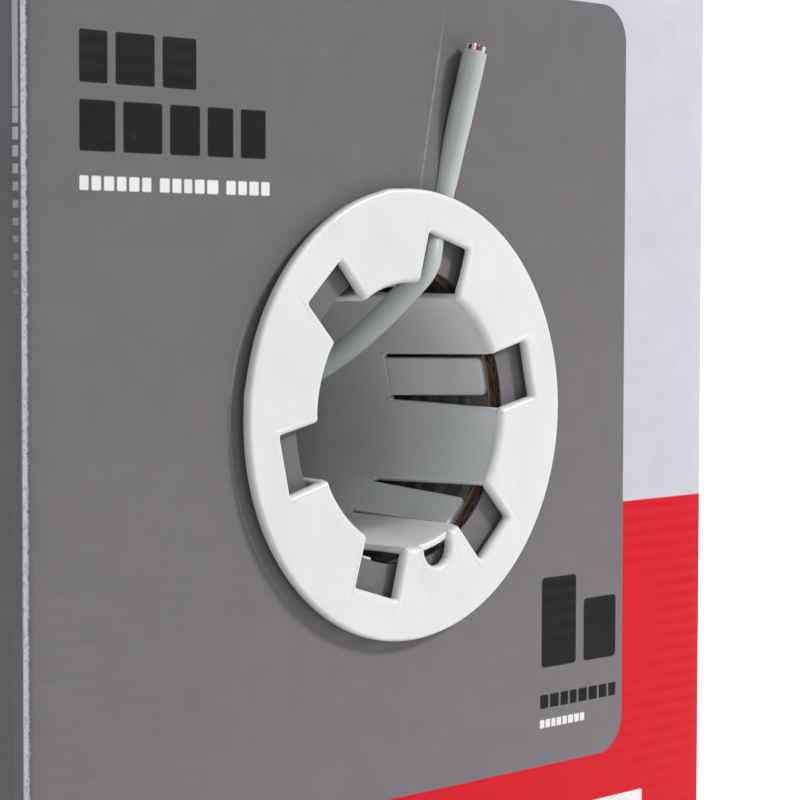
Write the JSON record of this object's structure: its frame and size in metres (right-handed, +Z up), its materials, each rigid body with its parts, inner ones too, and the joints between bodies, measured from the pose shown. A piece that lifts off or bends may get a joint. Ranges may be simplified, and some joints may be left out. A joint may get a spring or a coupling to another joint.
{
  "type": "cable pull box",
  "caption": "Corrugated carton of wound network cable with a snap-in payout tube on its narrow face and the cable's end parked under the flange.",
  "frame": {"origin": "middle of the underside of everything but the free cable end, on the floor", "axes": "+Z up; the payout face looks towards -Y; +X to the right when facing it"},
  "size_m": [0.2, 0.3556, 0.35],
  "materials": {
    "printed_board": "laminated grey, white and red print on corrugated board",
    "kraft_board": "uncoated brown corrugated board",
    "white_plastic": "moulded white polyethylene, satin",
    "cable_jacket": "light grey PVC jacket",
    "core_white": "white insulation",
    "core_blue": "blue insulation",
    "core_orange": "orange insulation",
    "core_green": "green insulation",
    "core_brown": "brown insulation"
  },
  "bodies": {
    "carton": {"carton_front_panel": "printed_board", "carton_back_panel": "printed_board", "carton_left_panel": "printed_board", "carton_right_panel": "printed_board", "carton_glue_tab": "kraft_board", "bottom_major_flap_left": "printed_board", "bottom_major_flap_right": "printed_board", "bottom_minor_flap_front": "kraft_board", "bottom_minor_flap_back": "kraft_board", "top_minor_flap_front": "kraft_board", "top_minor_flap_back": "kraft_board", "cable_winding": "cable_jacket", "cable_payout_run": "cable_jacket", "cable_tail": "cable_jacket", "core_blue": "core_blue", "core_white_blue": "core_white", "core_orange": "core_orange", "core_white_orange": "core_white", "core_green": "core_green", "core_white_green": "core_white", "core_brown": "core_brown", "core_white_brown": "core_white"},
    "top_flap_left": {"top_major_flap_left": "printed_board"},
    "top_flap_right": {"top_major_flap_right": "printed_board"},
    "payout_tube": {"payout_tube": "white_plastic"},
    "finger_1": {"snap_finger_1": "white_plastic"},
    "finger_2": {"snap_finger_2": "white_plastic"},
    "finger_3": {"snap_finger_3": "white_plastic"},
    "finger_4": {"snap_finger_4": "white_plastic"},
    "finger_5": {"snap_finger_5": "white_plastic"},
    "finger_6": {"snap_finger_6": "white_plastic"}
  },
  "joints": [
    {"name": "top_flap_left_fold", "type": "hinge", "parent": "carton", "child": "top_flap_left", "pos_m": [-0.1, 0.0023, 0.35], "axis": [0, -1, 0], "range_deg": [0, 265]},
    {"name": "top_flap_right_fold", "type": "hinge", "parent": "carton", "child": "top_flap_right", "pos_m": [0.1, 0.0023, 0.35], "axis": [0, 1, 0], "range_deg": [0, 265]},
    {"name": "payout_tube_turn", "type": "hinge", "parent": "carton", "child": "payout_tube", "pos_m": [-0.0028, -0.1727, 0.175], "axis": [0, 1, 0], "range_deg": [-6, 0]},
    {"name": "snap_finger_1_flex", "type": "hinge", "parent": "payout_tube", "child": "finger_1", "pos_m": [0.02422, -0.1439, 0.18134], "axis": [0.2283, 0, -0.9736], "range_deg": [0, 6], "stiffness_Nm_per_rad": 0.05},
    {"name": "snap_finger_2_flex", "type": "hinge", "parent": "payout_tube", "child": "finger_2", "pos_m": [0.00522, -0.1439, 0.20157], "axis": [0.9573, 0, -0.289], "range_deg": [0, 1], "stiffness_Nm_per_rad": 0.05},
    {"name": "snap_finger_3_flex", "type": "hinge", "parent": "payout_tube", "child": "finger_3", "pos_m": [-0.0218, -0.1439, 0.19523], "axis": [0.729, 0, 0.6845], "range_deg": [0, 6], "stiffness_Nm_per_rad": 0.05},
    {"name": "snap_finger_4_flex", "type": "hinge", "parent": "payout_tube", "child": "finger_4", "pos_m": [-0.02982, -0.1439, 0.16866], "axis": [-0.2283, 0, 0.9736], "range_deg": [0, 6], "stiffness_Nm_per_rad": 0.05},
    {"name": "snap_finger_5_flex", "type": "hinge", "parent": "payout_tube", "child": "finger_5", "pos_m": [-0.01082, -0.1439, 0.14843], "axis": [-0.9573, 0, 0.289], "range_deg": [0, 6], "stiffness_Nm_per_rad": 0.05},
    {"name": "snap_finger_6_flex", "type": "hinge", "parent": "payout_tube", "child": "finger_6", "pos_m": [0.0162, -0.1439, 0.15477], "axis": [-0.729, 0, -0.6845], "range_deg": [0, 6], "stiffness_Nm_per_rad": 0.05}
  ]
}
